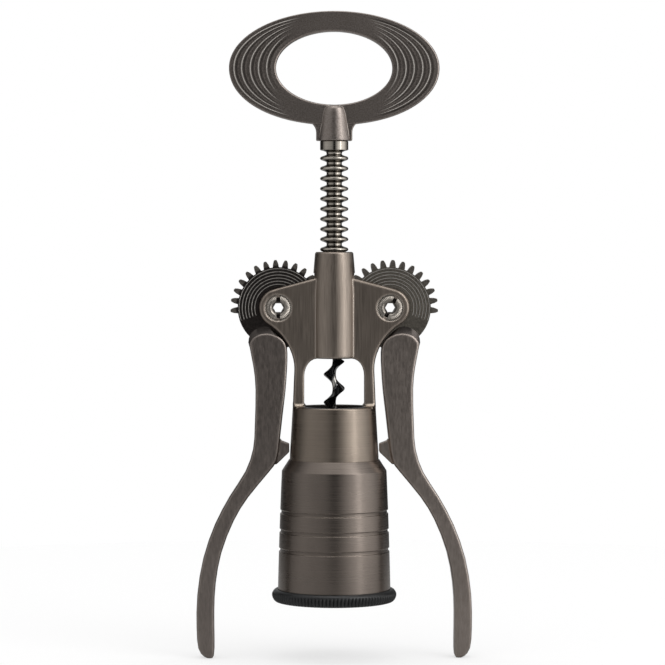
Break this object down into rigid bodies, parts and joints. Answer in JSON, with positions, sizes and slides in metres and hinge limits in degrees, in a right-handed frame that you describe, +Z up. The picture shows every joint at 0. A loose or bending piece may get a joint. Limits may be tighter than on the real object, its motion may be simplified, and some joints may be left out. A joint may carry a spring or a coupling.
{
  "type": "wing corkscrew",
  "caption": "Wing corkscrew: oval ring handle over a ring-cut rack, two toothed levers geared to it, a cast frame, and a bell with a rubber ring that sits over a bottle's neck.",
  "frame": {"origin": "centre of the bell's mouth, on the plane of the rubber ring's lower face", "axes": "+Z up the worm's axis to the handle, +X to the right lever, -Y the front"},
  "size_m": [0.1072, 0.0486, 0.2513],
  "materials": {
    "satin_bronze": "satin dark bronze plating over a zinc casting, brushed along the plates and turned round the bell",
    "black_nickel": "polished black nickel plating",
    "pivot_nickel": "turned steel, satin nickel",
    "bush_bronze": "sintered bronze",
    "worm_black": "gloss black non-stick coating on steel",
    "rubber": "matt black rubber",
    "polymer": "black acetal"
  },
  "bodies": {
    "frame": {"frame": "satin_bronze", "guide_bush": "polymer", "bell": "satin_bronze", "lip_ring": "polymer", "bell_ring": "rubber", "left_pivot_nut": "pivot_nickel", "right_pivot_nut": "pivot_nickel", "left_pivot_bolt": "pivot_nickel", "right_pivot_bolt": "pivot_nickel"},
    "rack": {"rack_sleeve": "black_nickel", "upper_bush": "bush_bronze", "lower_bush": "bush_bronze"},
    "handle": {"handle": "satin_bronze", "spindle": "black_nickel", "worm_ferrule": "worm_black", "worm_pin": "black_nickel", "worm": "worm_black"},
    "left_lever": {"left_lever": "satin_bronze", "left_lever_bush": "bush_bronze"},
    "right_lever": {"right_lever": "satin_bronze", "right_lever_bush": "bush_bronze"}
  },
  "joints": [
    {"name": "rack_slide", "type": "slide", "parent": "frame", "child": "rack", "axis": [0, 0, -1], "range_m": [0, 0.043]},
    {"name": "handle_spin", "type": "hinge", "parent": "rack", "child": "handle", "pos_m": [0, 0, 0.15], "axis": [0, 0, 1], "continuous": true},
    {"name": "left_lever_swing", "type": "hinge", "parent": "frame", "child": "left_lever", "pos_m": [-0.02175, 0, 0.1145], "axis": [0, 1, 0], "range_deg": [0, 140.79]},
    {"name": "right_lever_swing", "type": "hinge", "parent": "frame", "child": "right_lever", "pos_m": [0.02175, 0, 0.1145], "axis": [0, -1, 0], "range_deg": [0, 140.79]}
  ],
  "couplings": [
    {"joint": "left_lever_swing", "follows": "rack_slide", "rad_per_m": 57.143},
    {"joint": "right_lever_swing", "follows": "rack_slide", "rad_per_m": 57.143}
  ]
}
